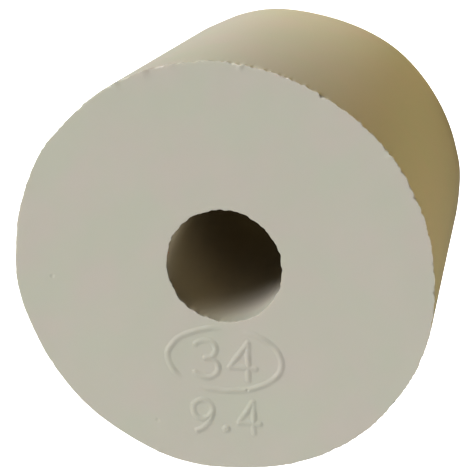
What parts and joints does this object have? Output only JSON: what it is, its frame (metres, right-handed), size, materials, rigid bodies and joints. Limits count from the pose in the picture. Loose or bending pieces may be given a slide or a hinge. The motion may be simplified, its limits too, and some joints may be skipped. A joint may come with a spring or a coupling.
{
  "type": "rubber stopper",
  "caption": "Tapered rubber stopper with flat ends and a straight central hole; it seals a bottle or flask neck and grips a tube pushed through it.",
  "frame": {"origin": "centre of the narrow end's flat face, which the stopper stands on", "axes": "+Z along the stopper's axis, from the narrow end towards the wide end; +X reads left to right across the raised marks on the wide end, and +Y points from those marks to the hole"},
  "size_m": [0.034, 0.034, 0.025],
  "materials": {
    "natural_rubber": "matt moulded off-white natural rubber, with a trimmed edge round the wide end"
  },
  "bodies": {
    "root": {"stopper": "natural_rubber"}
  },
  "joints": []
}
